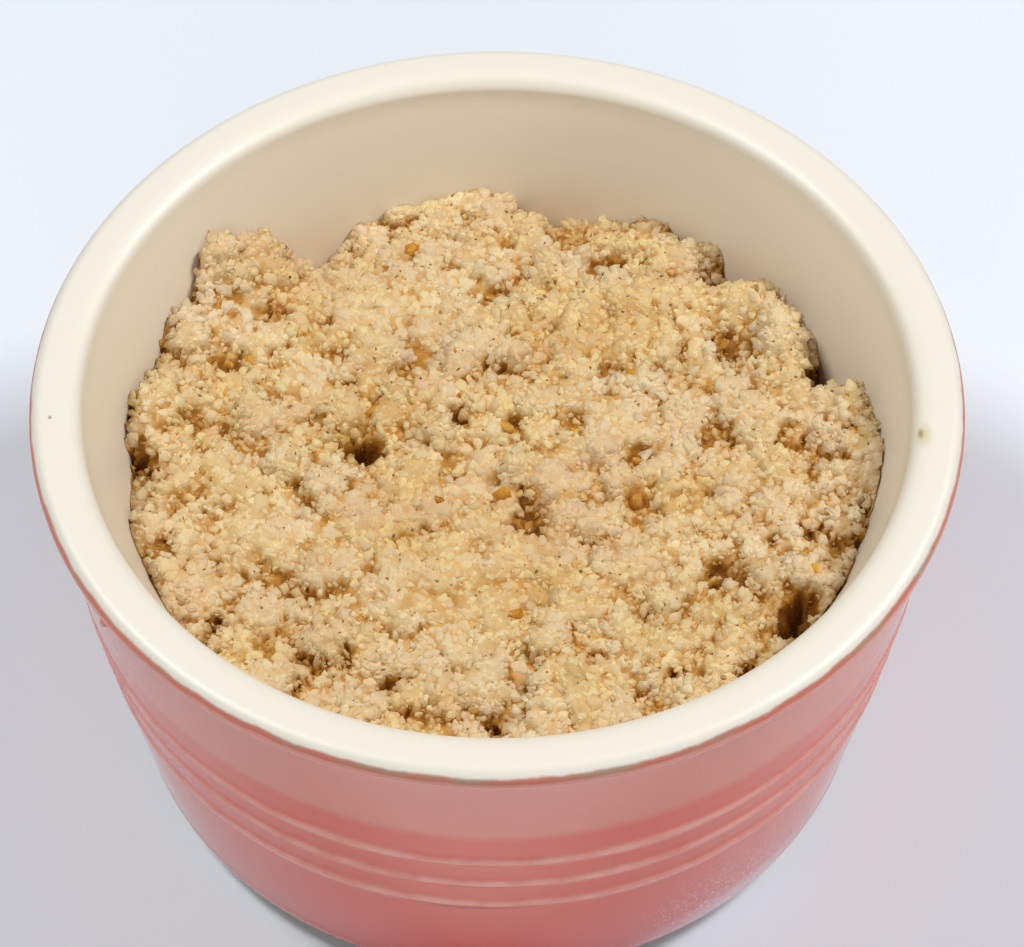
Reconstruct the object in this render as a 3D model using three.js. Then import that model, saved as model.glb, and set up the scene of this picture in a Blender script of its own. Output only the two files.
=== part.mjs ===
// Ramekin of crushed pecan brittle: a glazed stoneware dish, filled with brittle that was ground to crumbs.
// Millimetres, +Z up. The origin is under the middle of the dish, on the surface that it stands on.
// -Y is the side that faces the viewer.
import * as THREE from 'three';

// The dish
const RIM_RADIUS = 46; // at the widest point of the lip
const DISH_HEIGHT = 50;
const LIP_DROP = 1.6; // the lip's widest point lies this far under its top
const LIP_INSIDE = 42.9; // the top of the lip is level from here
const LIP_OUTSIDE = 44.6; // to here
const LIP_ROLL = 70; // degrees that the lip turns in again under its widest point
const OUTER_TOP_RADIUS = 45;
const OUTER_TAPER = 0.124;
const OUTER_CURVE = 0.0008;
const INNER_TOP_RADIUS = 41.4;
const INNER_TAPER = 0.42;
const INNER_CURVE = 0.0045;
const FLOOR_TOP = 6;
const FLOOR_FILLET = 8;
const FOOT_CORNER = 5; // height where the outer wall turns in to the foot
const FOOT_OUTER_RADIUS = 33;
const FOOT_INNER_RADIUS = 28.5;
const FOOT_RECESS = 1.5; // hollow under the floor, inside the foot ring
const DISH_SEGMENTS = 60;
const FOOT_STEPS = 5; // points along each round stretch of the section
const LIP_OUTER_STEPS = 7;
const LIP_INNER_STEPS = 4;
const FLOOR_STEPS = 5;
const LOWER_WALL_STEPS = 3;
const UPPER_WALL_STEPS = 4;
const INNER_WALL_STEPS = 7;
const GLAZE_COLOUR = 0xc98078;

// Raised lines round the outer wall
const BEAD_COUNT = 3;
const FIRST_BEAD_HEIGHT = 30.3;
const BEAD_SPACING = 4.85;
const BEAD_RISE = 0.45;
const BEAD_HALF_WIDTH = 0.8;

// The crumbs
const FILL_LEVEL = 40.3;
const SIDE_SLOPE = 0.025; // the heap climbs towards +X
const BACK_DROP = 3.5; // the crumbs lie this much lower along the far wall
const BACK_DROP_FROM = 15; // y where the fall begins
const BACK_DROP_TO = 37;
const WALL_GAP = 0.4; // room between crumbs and glaze
const BOTTOM_GAP = 0.5;
const LUMP_RISE = 0.38; // uneven height of the small lumps
const LUMP_SEED = 29;
const DRAW_FACTOR = 1664525; // of the seeded draws, each worked out from the one before
const DRAW_STEP = 1013904223;
const CRUMB_RINGS = 30;
const RING_SECTORS = 6; // ring k holds this many times k points, so the points lie evenly
const CRUMB_SIDE_ROWS = 3;
const BRITTLE_COLOUR = 0xd8b583;

// Larger clumps that stand above the level, and hollows that sink under it
const CLUMPS = [
  { x: -28, y: 24.5, radius: 8, rise: 4.4 }, // against the far left wall
  { x: -33, y: 17, radius: 5, rise: 1 },
  { x: -35.5, y: 6, radius: 6, rise: 1.9 },
  { x: -14, y: 17, radius: 9, rise: 0.9 },
  { x: -4, y: 33, radius: 8, rise: 0.9 },
  { x: 14, y: 18, radius: 8, rise: 1.2 },
  { x: 19, y: 30.5, radius: 5.5, rise: 1.8 },
  { x: 28.6, y: 15, radius: 5, rise: 2.4 }, // ridge beside the largest hollow
  { x: 37, y: -1, radius: 6, rise: 1.1 },
  { x: 5, y: -3, radius: 5, rise: 0.8 },
  { x: 30, y: -16, radius: 7, rise: 1.3 },
  { x: -20, y: -22, radius: 8, rise: 0.6 },
  { x: 5, y: -27, radius: 7, rise: 0.8 },
];
const HOLLOWS = [
  { x: -13, y: 1, radius: 3.2, depth: 2.4 },
  { x: -3, y: 4, radius: 2.8, depth: 1.6 },
  { x: 2.5, y: -8, radius: 3.4, depth: 1.8 },
  { x: 14, y: -6.5, radius: 3.2, depth: 1.2 },
  { x: 24.5, y: 14, radius: 4.5, depth: 2.6 }, // the largest hollow
  { x: 12, y: 27, radius: 3.6, depth: 2.2 }, // a trench along the far bank
  { x: 18, y: 25.5, radius: 3.2, depth: 2 },
  { x: 24.5, y: 25.5, radius: 5, depth: 4.6 },
  { x: 31.5, y: 20.5, radius: 5, depth: 4.4 }, // a gap along the wall behind the ridge
  { x: 34.8, y: 11.8, radius: 5.8, depth: 6.4 },
  { x: 9, y: 34.5, radius: 6, depth: 2.8 },
  { x: 3, y: 35.5, radius: 3, depth: 1.2 },
  { x: -19, y: 30.5, radius: 6.5, depth: 3.2 },
  { x: -22.5, y: 18.5, radius: 3.2, depth: 1.8 },
  { x: -0.5, y: 21, radius: 2.8, depth: 1.4 },
  { x: -36, y: -2, radius: 3, depth: 2 },
  { x: 22, y: -15, radius: 2.8, depth: 1.4 },
  { x: 30, y: -22, radius: 3.2, depth: 3 },
  { x: 24, y: -27.5, radius: 2.8, depth: 2 },
  { x: -13, y: -27, radius: 3.2, depth: 1.2 },
  { x: 0, y: -33, radius: 2.8, depth: 1.6 },
];

// Radius of the outer wall at a height, with its raised lines.
function outerRadius(height) {
  const drop = DISH_HEIGHT - LIP_DROP - height;
  let radius = OUTER_TOP_RADIUS - OUTER_TAPER * drop - OUTER_CURVE * drop * drop;
  for (let bead = 0; bead < BEAD_COUNT; bead++) {
    const offset = Math.abs(height - beadHeight(bead)) / BEAD_HALF_WIDTH;
    if (offset < 1) radius += BEAD_RISE * Math.cos((offset * Math.PI) / 2) ** 2;
  }
  return radius;
}

function beadHeight(bead) {
  return FIRST_BEAD_HEIGHT - bead * BEAD_SPACING;
}

// Radius of the inner wall at a height: a wide bowl that grows steeper, with a rounded foot.
function innerRadius(height) {
  const wallHeight = Math.max(height, FLOOR_TOP + FLOOR_FILLET);
  const depth = DISH_HEIGHT - wallHeight;
  const wall = INNER_TOP_RADIUS - INNER_TAPER * depth + INNER_CURVE * depth * depth;
  const below = Math.min(wallHeight - height, FLOOR_FILLET);
  return wall - FLOOR_FILLET + Math.sqrt(FLOOR_FILLET ** 2 - below ** 2);
}

// A stretch of an ellipse between two directions from its middle, both ends included.
function arcPoints(middleRadius, middleHeight, width, rise, fromDegrees, toDegrees, steps) {
  const curve = new THREE.EllipseCurve(
    middleRadius,
    middleHeight,
    width,
    rise,
    THREE.MathUtils.degToRad(fromDegrees),
    THREE.MathUtils.degToRad(toDegrees),
    toDegrees < fromDegrees,
  );
  return curve.getPoints(steps);
}

// Points along a wall, spread evenly between two heights, without the ends.
function wallPoints(radiusAt, fromHeight, toHeight, steps) {
  const points = [];
  for (let step = 1; step < steps; step++) {
    const height = THREE.MathUtils.lerp(fromHeight, toHeight, step / steps);
    points.push(new THREE.Vector2(radiusAt(height), height));
  }
  return points;
}

// Foot, crest and head of each raised line, from the lowest line up.
function beadPoints() {
  const points = [];
  for (let bead = BEAD_COUNT - 1; bead >= 0; bead--) {
    for (const offset of [-BEAD_HALF_WIDTH, 0, BEAD_HALF_WIDTH]) {
      const height = beadHeight(bead) + offset;
      points.push(new THREE.Vector2(outerRadius(height), height));
    }
  }
  return points;
}

// The dish's section, from the axis under its foot, up the outside, over the lip and down to its floor.
function dishSection() {
  const section = [
    new THREE.Vector2(0, FOOT_RECESS),
    new THREE.Vector2(FOOT_INNER_RADIUS - FOOT_RECESS, FOOT_RECESS),
    new THREE.Vector2(FOOT_INNER_RADIUS, 0),
  ];
  const corner = outerRadius(FOOT_CORNER) - FOOT_OUTER_RADIUS;
  section.push(...arcPoints(FOOT_OUTER_RADIUS, FOOT_CORNER, corner, FOOT_CORNER, -90, 0, FOOT_STEPS));
  const beads = beadPoints();
  const lipMiddle = DISH_HEIGHT - LIP_DROP;
  const lipOuter = RIM_RADIUS - LIP_OUTSIDE;
  const lip = arcPoints(LIP_OUTSIDE, lipMiddle, lipOuter, LIP_DROP, -LIP_ROLL, 90, LIP_OUTER_STEPS);
  section.push(...wallPoints(outerRadius, FOOT_CORNER, beads[0].y, LOWER_WALL_STEPS));
  section.push(...beads);
  section.push(...wallPoints(outerRadius, beads[beads.length - 1].y, lip[0].y, UPPER_WALL_STEPS));
  section.push(...lip);
  const lipInner = LIP_INSIDE - innerRadius(lipMiddle);
  section.push(...arcPoints(LIP_INSIDE, lipMiddle, lipInner, LIP_DROP, 90, 180, LIP_INNER_STEPS));
  const filletTop = FLOOR_TOP + FLOOR_FILLET;
  section.push(...wallPoints(innerRadius, lipMiddle, filletTop, INNER_WALL_STEPS));
  const filletMiddle = innerRadius(filletTop) - FLOOR_FILLET;
  section.push(...arcPoints(filletMiddle, filletTop, FLOOR_FILLET, FLOOR_FILLET, 0, -90, FLOOR_STEPS));
  section.push(new THREE.Vector2(0, FLOOR_TOP));
  return section;
}

function makeRamekin() {
  const geometry = new THREE.LatheGeometry(dishSection(), DISH_SEGMENTS);
  geometry.rotateX(Math.PI / 2);
  const glaze = new THREE.MeshStandardMaterial({ color: GLAZE_COLOUR, roughness: 0.2, metalness: 0 });
  const ramekin = new THREE.Mesh(geometry, glaze);
  ramekin.name = 'ramekin';
  return ramekin;
}

// A rounded hump: 1 at its middle, 0 from its edge outwards.
function hump(x, y, place) {
  const reach = Math.hypot(x - place.x, y - place.y) / place.radius;
  return reach < 1 ? (1 - reach * reach) ** 2 : 0;
}

// Height of the crumbs' larger forms at a place.
function crumbLevel(x, y) {
  let level = FILL_LEVEL + SIDE_SLOPE * x;
  level -= BACK_DROP * THREE.MathUtils.smoothstep(y, BACK_DROP_FROM, BACK_DROP_TO);
  for (const clump of CLUMPS) level += clump.rise * hump(x, y, clump);
  for (const hollow of HOLLOWS) level -= hollow.depth * hump(x, y, hollow);
  return level;
}

// Seeded draws from -1 to 1, one for each lump of the top.
function lumpHeights(count) {
  let state = LUMP_SEED;
  const heights = [];
  for (let lump = 0; lump < count; lump++) {
    state = (Math.imul(state, DRAW_FACTOR) + DRAW_STEP) >>> 0;
    heights.push(state / 2 ** 31 - 1);
  }
  return heights;
}

// Number of a point in the disc of rings: the middle is 0, then each ring in turn.
function discIndex(ring, step) {
  if (ring === 0) return 0;
  const before = 1 + (RING_SECTORS * ring * (ring - 1)) / 2;
  return before + (step % (RING_SECTORS * ring));
}

// Points of the heap: the uneven top by rings, then rows down the sides, then the middle of the bottom.
function crumbPoints() {
  const rim = RING_SECTORS * CRUMB_RINGS;
  const lumps = lumpHeights(discIndex(CRUMB_RINGS, rim - 1) + 1);
  const bottom = FLOOR_TOP + BOTTOM_GAP;
  const fullRadius = innerRadius(FILL_LEVEL) - WALL_GAP;
  const points = [];
  for (let ring = 0; ring <= CRUMB_RINGS; ring++) {
    const share = ring / CRUMB_RINGS;
    for (let step = 0; step < Math.max(RING_SECTORS * ring, 1); step++) {
      const angle = ring === 0 ? 0 : (2 * Math.PI * step) / (RING_SECTORS * ring);
      const level = crumbLevel(share * fullRadius * Math.cos(angle), share * fullRadius * Math.sin(angle));
      const height = level + LUMP_RISE * lumps[discIndex(ring, step)];
      const reach = share * (innerRadius(height) - WALL_GAP);
      points.push(new THREE.Vector3(reach * Math.cos(angle), reach * Math.sin(angle), height));
    }
  }
  for (let row = 1; row <= CRUMB_SIDE_ROWS; row++) {
    for (let step = 0; step < rim; step++) {
      const angle = (2 * Math.PI * step) / rim;
      const edge = points[discIndex(CRUMB_RINGS, step)];
      const height = THREE.MathUtils.lerp(edge.z, bottom, row / CRUMB_SIDE_ROWS);
      const reach = innerRadius(height) - WALL_GAP;
      points.push(new THREE.Vector3(reach * Math.cos(angle), reach * Math.sin(angle), height));
    }
  }
  points.push(new THREE.Vector3(0, 0, bottom));
  return points;
}

// Triangles of the heap, all facing out.
function crumbTriangles() {
  const triangles = [];
  for (let ring = 0; ring < CRUMB_RINGS; ring++) {
    for (let sector = 0; sector < RING_SECTORS; sector++) {
      for (let step = 0; step <= ring; step++) {
        const inner = discIndex(ring, sector * ring + step);
        const outer = discIndex(ring + 1, sector * (ring + 1) + step);
        const outerNext = discIndex(ring + 1, sector * (ring + 1) + step + 1);
        triangles.push(inner, outer, outerNext);
        if (step < ring) triangles.push(inner, outerNext, discIndex(ring, sector * ring + step + 1));
      }
    }
  }
  const rim = RING_SECTORS * CRUMB_RINGS;
  const firstRow = discIndex(CRUMB_RINGS, 0);
  const bottomMiddle = firstRow + rim * (CRUMB_SIDE_ROWS + 1);
  for (let step = 0; step < rim; step++) {
    const next = (step + 1) % rim;
    for (let row = 0; row < CRUMB_SIDE_ROWS; row++) {
      const above = firstRow + row * rim;
      const below = above + rim;
      triangles.push(above + step, below + step, below + next);
      triangles.push(above + step, below + next, above + next);
    }
    const lastRow = bottomMiddle - rim;
    triangles.push(bottomMiddle, lastRow + next, lastRow + step);
  }
  return triangles;
}

function makeCrumbs() {
  const geometry = new THREE.BufferGeometry().setFromPoints(crumbPoints());
  geometry.setIndex(crumbTriangles());
  geometry.computeVertexNormals();
  const brittle = new THREE.MeshStandardMaterial({ color: BRITTLE_COLOUR, roughness: 0.8, metalness: 0 });
  const crumbs = new THREE.Mesh(geometry, brittle);
  crumbs.name = 'crumbs';
  return crumbs;
}

const dish = new THREE.Group();
dish.add(makeRamekin(), makeCrumbs());

export default dish;
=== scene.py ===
# %% [markdown]
# # A ramekin of crushed pecan brittle
#
# The dish is a small stoneware pot with a cream glaze inside and a coral glaze outside. It holds pecan
# brittle that was ground to crumbs. The solids give the size and the place of both. This lesson gives
# them their looks: a smooth turned dish with its glazes, a rough core for the heap, and many thousand
# loose grains that lie on that core.

# %% Load the frame
import math

import bmesh
import bpy
import numpy as np
from mathutils import Matrix, Vector
from mathutils.bvhtree import BVHTree


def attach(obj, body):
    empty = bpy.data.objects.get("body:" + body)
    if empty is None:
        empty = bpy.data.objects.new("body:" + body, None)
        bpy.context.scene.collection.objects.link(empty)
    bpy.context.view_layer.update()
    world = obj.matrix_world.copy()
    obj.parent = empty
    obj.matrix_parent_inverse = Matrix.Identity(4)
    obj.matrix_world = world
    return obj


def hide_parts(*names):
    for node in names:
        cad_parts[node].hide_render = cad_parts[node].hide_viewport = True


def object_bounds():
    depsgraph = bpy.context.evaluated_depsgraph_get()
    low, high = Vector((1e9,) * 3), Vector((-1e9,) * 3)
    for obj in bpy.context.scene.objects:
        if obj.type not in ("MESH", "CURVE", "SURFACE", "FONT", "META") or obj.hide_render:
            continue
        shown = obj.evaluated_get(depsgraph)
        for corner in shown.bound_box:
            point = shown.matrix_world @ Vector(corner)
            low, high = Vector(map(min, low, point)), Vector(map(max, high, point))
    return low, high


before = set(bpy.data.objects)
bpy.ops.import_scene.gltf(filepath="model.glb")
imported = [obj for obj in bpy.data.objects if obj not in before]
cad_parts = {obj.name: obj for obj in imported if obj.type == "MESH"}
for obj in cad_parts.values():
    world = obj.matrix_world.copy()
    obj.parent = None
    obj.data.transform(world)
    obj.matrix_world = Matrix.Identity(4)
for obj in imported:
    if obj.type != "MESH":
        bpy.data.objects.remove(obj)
cad_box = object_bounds()
MM = 0.001
print("solids:", sorted(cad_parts))
print("box in mm:", [[round(v / MM, 1) for v in corner] for corner in cad_box])

# %% [markdown]
# ## The camera
#
# A photographer looked down into the dish from the front with a long lens. The camera could be placed
# by eye, but the rim's ellipse and the foot's edge fix it well: its height above the table as an angle,
# the point that it aims at, and its distance. The lens then follows from how large the rim is in the
# picture.

# %% Make the camera
CAMERA_AIM = Vector((1.461, 0, 36.403)) * MM
CAMERA_ELEVATION = math.radians(52.184)
CAMERA_DISTANCE = 460 * MM
CAMERA_LENS = 160.84
SENSOR_WIDTH = 36

camera_data = bpy.data.cameras.new("camera")
camera_data.lens = CAMERA_LENS
camera_data.sensor_width = SENSOR_WIDTH
camera = bpy.data.objects.new("camera", camera_data)
toward_camera = Vector((0, -math.cos(CAMERA_ELEVATION), math.sin(CAMERA_ELEVATION)))
camera.location = CAMERA_AIM + toward_camera * CAMERA_DISTANCE
camera.rotation_euler = (-toward_camera).to_track_quat("-Z", "Y").to_euler()
bpy.context.scene.collection.objects.link(camera)
bpy.context.scene.camera = camera
print("camera at", [round(v / MM, 1) for v in camera.location], "mm")

# %% [markdown]
# ## Helpers for materials
#
# Colours are easy to read off as the hex values of a paint program, but shaders calculate with linear
# light. One function turns the first into the second. Another adds a node to a material, sets it and
# links it, so that each material below reads as a list of what it is made of. Patterns are given by the
# size of their waves in millimetres, which a third function turns into the values of a noise.

# %% Helpers for colours and materials
# Sockets of a Mix node for colours: the share, the two colours and the result
SHARE, FIRST, SECOND, MIXED = 0, 6, 7, 2


def linear(hex_colour):
    """A colour such as 'd8b583' as linear red, green, blue and alpha."""
    shares = [int(hex_colour[place : place + 2], 16) / 255 for place in (0, 2, 4)]
    return [s / 12.92 if s <= 0.04045 else ((s + 0.055) / 1.055) ** 2.4 for s in shares] + [1]


def pattern(size, detail, roughness=0.5):
    """Values of a noise whose waves have a size in mm."""
    return {"Scale": 1 / (size * MM), "Detail": detail, "Roughness": roughness}


def add_node(tree, kind, values=None, links=None, ramp=None, **settings):
    """Adds a shader node with its settings, the values of its sockets and the links into them."""
    node = tree.nodes.new("ShaderNode" + kind)
    for name, value in settings.items():
        setattr(node, name, value)
    for socket, value in (values or {}).items():
        node.inputs[socket].default_value = value
    for socket, source in (links or {}).items():
        tree.links.new(source, node.inputs[socket])
    # A new ramp has two stops, so each list of stops starts with its two ends
    for place, (position, hex_colour) in enumerate(ramp or []):
        stops = node.color_ramp.elements
        stop = stops[place] if place < 2 else stops.new(position)
        stop.position = position
        stop.color = linear(hex_colour)
    return node


def start_material(name):
    """A new material and its empty tree."""
    material = bpy.data.materials.new(name)
    material.use_nodes = True
    material.node_tree.nodes.clear()
    return material, material.node_tree


def finish_material(tree, shader):
    """Links a shader to the output of its material."""
    add_node(tree, "OutputMaterial", links={"Surface": shader.outputs["BSDF"]})


print("helpers ready, mid grey is", round(linear("808080")[0], 3))

# %% [markdown]
# ## The dish's section
#
# A potter turns such a dish on a wheel, so half of its section says everything about its form. The
# outer wall leans in a little towards the foot and carries three raised lines. The lip is a roll that
# stands just proud of the wall. Inside, the bowl is wide and narrows faster than the outside. The sizes
# are the solid's own, in millimetres, but the raised lines are lower and wider, as the glaze softens
# them.

# %% The section of the dish
DISH_HEIGHT = cad_box[1].z / MM
RIM_RADIUS = cad_box[1].x / MM
LIP_DROP = 1.6
LIP_INSIDE = 42.9
LIP_OUTSIDE = 44.6
LIP_ROLL = 70
OUTER_TOP_RADIUS = 45
OUTER_TAPER = 0.124
OUTER_CURVE = 0.0008
INNER_TOP_RADIUS = 41.4
INNER_TAPER = 0.42
INNER_CURVE = 0.0045
FLOOR_TOP = 6
FLOOR_FILLET = 8
FOOT_CORNER = 5
FOOT_OUTER_RADIUS = 33
FOOT_INNER_RADIUS = 28.5
FOOT_RECESS = 1.5
BEAD_HEIGHTS = [30.3 - 4.85 * bead for bead in range(3)]
BEAD_RISE = 0.22
BEAD_HALF_WIDTH = 1.4
LIP_MIDDLE = DISH_HEIGHT - LIP_DROP
# Points along each stretch of the section
FOOT_POINTS = 10
OUTSIDE_POINTS = 150
LIP_POINTS = 16
LIP_INSIDE_POINTS = 10
INSIDE_POINTS = 24
FILLET_POINTS = 8


def bead_share(height):
    """1 on the crest of a raised line, 0 away from them."""
    offsets = np.min([abs(height - bead) for bead in BEAD_HEIGHTS], axis=0) / BEAD_HALF_WIDTH
    return np.cos(np.clip(offsets, 0, 1) * math.pi / 2) ** 2


def outer_radius(height):
    """Radius of the outer wall at a height, with its raised lines."""
    drop = LIP_MIDDLE - height
    return OUTER_TOP_RADIUS - OUTER_TAPER * drop - OUTER_CURVE * drop**2 + BEAD_RISE * bead_share(height)


def inner_radius(height):
    """Radius of the inner wall at a height, with the round corner at its floor."""
    wall_height = np.maximum(height, FLOOR_TOP + FLOOR_FILLET)
    depth = DISH_HEIGHT - wall_height
    wall = INNER_TOP_RADIUS - INNER_TAPER * depth + INNER_CURVE * depth**2
    below = np.minimum(wall_height - height, FLOOR_FILLET)
    return wall - FLOOR_FILLET + np.sqrt(FLOOR_FILLET**2 - below**2)


def arc(middle, size, start, end, steps):
    """Points on an ellipse between two angles in degrees."""
    angles = np.radians(np.linspace(start, end, steps + 1))
    return np.stack([middle[0] + size[0] * np.cos(angles), middle[1] + size[1] * np.sin(angles)], axis=1)


def wall(radius_at, start, end, steps):
    """Points along a wall between two heights, without its ends."""
    heights = np.linspace(start, end, steps + 1)[1:-1]
    return np.stack([radius_at(heights), heights], axis=1)


def dish_section():
    """The section from the axis under the foot, up the outside, over the lip and down to the floor."""
    corner = outer_radius(FOOT_CORNER) - FOOT_OUTER_RADIUS
    lip = arc((LIP_OUTSIDE, LIP_MIDDLE), (RIM_RADIUS - LIP_OUTSIDE, LIP_DROP), -LIP_ROLL, 90, LIP_POINTS)
    lip_inner = LIP_INSIDE - inner_radius(LIP_MIDDLE)
    fillet_top = FLOOR_TOP + FLOOR_FILLET
    fillet_middle = inner_radius(fillet_top) - FLOOR_FILLET
    return np.concatenate(
        [
            [(0, FOOT_RECESS), (FOOT_INNER_RADIUS - FOOT_RECESS, FOOT_RECESS), (FOOT_INNER_RADIUS, 0)],
            arc((FOOT_OUTER_RADIUS, FOOT_CORNER), (corner, FOOT_CORNER), -90, 0, FOOT_POINTS),
            wall(outer_radius, FOOT_CORNER, lip[0][1], OUTSIDE_POINTS),
            lip,
            arc((LIP_INSIDE, LIP_MIDDLE), (lip_inner, LIP_DROP), 90, 180, LIP_INSIDE_POINTS),
            wall(inner_radius, LIP_MIDDLE, fillet_top, INSIDE_POINTS),
            arc((fillet_middle, fillet_top), (FLOOR_FILLET, FLOOR_FILLET), 0, -90, FILLET_POINTS),
            [(0, FLOOR_TOP)],
        ]
    )


section = dish_section()
print("section:", len(section), "points, widest at", round(float(section[:, 0].max()), 2), "mm")

# %% [markdown]
# ## Turning the dish
#
# A Screw modifier would turn the section as well, but a spin in bmesh gives a finished mesh at once,
# and its last step merges with its first. The poles on the axis come out as many points in one place,
# so doubles are merged before the normals are worked out. A drop of glaze that set under the lip is a
# small ball, half sunk into the wall. Each point also keeps how far it lies along the section from the
# lip's widest line, because the glazes change near there, and how far it lies on the crest of a raised
# line, where the glaze is thin.

# %% Turn the dish
DISH_STEPS = 224
MERGE_DISTANCE = 0.001
GLAZE_DROP = (-37.6, -23.7, 43.8)
GLAZE_DROP_RADIUS = 0.6


def add_piece(name, mesh, material, node):
    """Puts a mesh into the scene as a piece of the part."""
    piece = bpy.data.objects.new(name, mesh)
    piece.data.materials.append(material)
    bpy.context.scene.collection.objects.link(piece)
    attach(piece, "root")
    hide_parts(node)
    return piece


def turn_dish():
    """The dish as a mesh, spun from its section."""
    turned = bmesh.new()
    line = [turned.verts.new((radius * MM, 0, height * MM)) for radius, height in section]
    edges = [turned.edges.new(pair) for pair in zip(line, line[1:])]
    bmesh.ops.spin(
        turned,
        geom=line + edges,
        cent=(0, 0, 0),
        axis=(0, 0, 1),
        angle=math.tau,
        steps=DISH_STEPS,
        use_merge=True,
    )
    bmesh.ops.remove_doubles(turned, verts=turned.verts, dist=MERGE_DISTANCE * MM)
    bmesh.ops.recalc_face_normals(turned, faces=turned.faces)
    drop_place = Matrix.Translation(Vector(GLAZE_DROP) * MM)
    bmesh.ops.create_icosphere(turned, subdivisions=2, radius=GLAZE_DROP_RADIUS * MM, matrix=drop_place)
    for face in turned.faces:
        face.smooth = True
    mesh = bpy.data.meshes.new("dish")
    turned.to_mesh(mesh)
    turned.free()
    return mesh


def mesh_places(mesh):
    """The points of a mesh in mm."""
    places = np.zeros(len(mesh.vertices) * 3)
    mesh.vertices.foreach_get("co", places)
    return places.reshape(-1, 3) / MM


def mark_points(mesh, name, values):
    """Stores a number on each point of a mesh, for its material."""
    marks = mesh.attributes.new(name, "FLOAT", "POINT")
    marks.data.foreach_set("value", np.asarray(values, np.float32))


def mark_section(mesh):
    """Stores how far each point lies along the section from the lip's widest line, and on a crest."""
    places = mesh_places(mesh)
    flat = np.stack([np.hypot(places[:, 0], places[:, 1]), places[:, 2]], axis=1)
    steps = np.linalg.norm(np.diff(section, axis=0), axis=1)
    along = np.concatenate([[0], np.cumsum(steps)])
    along = along[section[:, 0].argmax()] - along
    nearest = np.array([((section - point) ** 2).sum(axis=1).argmin() for point in flat])
    mark_points(mesh, "section_mm", along[nearest])
    mark_points(mesh, "crest", np.where(along[nearest] > 0, bead_share(flat[:, 1]), 0))


dish_mesh = turn_dish()
mark_section(dish_mesh)
print("dish:", len(dish_mesh.vertices), "points and", len(dish_mesh.polygons), "faces")

# %% [markdown]
# ## Glazed stoneware
#
# Two glazes meet on the lip's outer edge, just above its widest line. Where they thin out there, the clay
# shows through as an uneven rusty line. Down the inner wall the cream is painted a little tan, painted
# shade and bounce light from the crumbs. Under the lip the coral is paler, a painted reflection of the
# bright table in front, and towards the foot it darkens a little. The glaze is thin and paler on the crests
# of the raised lines, and made paler still there as a painted highlight. The foot is bare clay. Marks of
# use lie on the rim and on the wall, and a dark line runs under the lowest raised line at the front. Low on
# the right is a patch full of pinholes with painted glints in them, and a pale painted reflection of the
# table lies over it. One material holds all of this: the distance along the section picks the glaze, and a
# noise of a few millimetres makes each border wander.

# %% Sizes and colours of the glaze
# Distance along the section in mm from the lip's widest line, outwards, and the colour there
GLAZE_STOPS = [
    # The stops at -14 and -8 paint the inner wall a little tan: painted shade and painted bounce light from
    # the crumbs
    (-14, "e7d9c2"),
    (48, "b89f86"),
    (-8, "e8dbc5"),
    (-5, "eae1d2"),
    (-0.8, "eae1d2"),
    # From here to 12.6 mm the coral is paler: a painted reflection of the bright table in front
    (-0.4, "da8876"),
    (12.6, "da7c68"),
    (14.2, "d9543a"),
    (28, "d65a44"),
    (40, "d4564c"),
    (46, "c8564c"),
]
GLAZE_RUN = (-14, 48)
RUST_PLACE = -0.65
RUST_HALF_WIDTH = 0.5
RUST_STOPS = [(0.32, "a0825c"), (0.48, "c85632"), (0.4, "b46c46")]
# Thin glaze on the crests, made paler still as a painted highlight
THIN_GLAZE_AND_HIGHLIGHT = "eaa08e"
# Colour of the painted glints in the pinholes
GLINT_COLOUR = "fff4f4"
# Sizes in mm: how far the borders wander, in waves how long, the rust's streaks, and the glaze's own waves
WANDER_REACH = 0.35
WANDER_SIZE = 3.33
STREAK_SIZE = 8.33
WAVE_SIZE = 1.43
WAVE_DEPTH = 0.1
# Each mark: place and half sizes in mm, colour. The first five are marks of use, the sixth a dark line
# under the lowest raised line, and the last a pale painted reflection of the lit table low on the right
MARKS_AND_REFLECTION = [
    ((41.5, -5.7, 50), (1.2, 1.8, 1), "d9c9a4"),
    ((41.3, -5.4, 50), (0.4, 0.8, 1), "a98a58"),
    ((-43.7, -3.6, 50), (0.25, 0.3, 0.3), "8d887c"),
    ((-33.4, -24.4, 23.1), (0.6, 0.6, 0.7), "9a7a7a"),
    ((-32.0, -26.1, 22.6), (0.6, 0.6, 0.7), "8f7470"),
    # A dark line under the lowest raised line at the front
    ((-3.2, -40.6, 19.2), (6.5, 3, 0.3), "a8483c"),
    # Pale painted reflection of the lit table, low on the right wall
    ((25, -29, 3.5), (16, 14, 4.2), "dcb4ba"),
]
# A patch low on the right where the glaze is full of pinholes, each with a painted glint
PITTED_PLACE = (22.5, -31.5, 8)
PITTED_REACH = 11
PINHOLE_SIZE = 0.4
print("glaze stops:", len(GLAZE_STOPS), "marks:", len(MARKS_AND_REFLECTION))

# %% Colours of the glaze
def zone_colour(tree, shifted):
    """Colour of the glaze at a distance along the section."""
    start, end = GLAZE_RUN
    zones = add_node(tree, "MapRange", {"From Min": start, "From Max": end}, {"Value": shifted})
    stops = [((distance - start) / (end - start), shade) for distance, shade in GLAZE_STOPS]
    return add_node(tree, "ValToRGB", links={"Fac": zones.outputs["Result"]}, ramp=stops).outputs["Color"]


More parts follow.
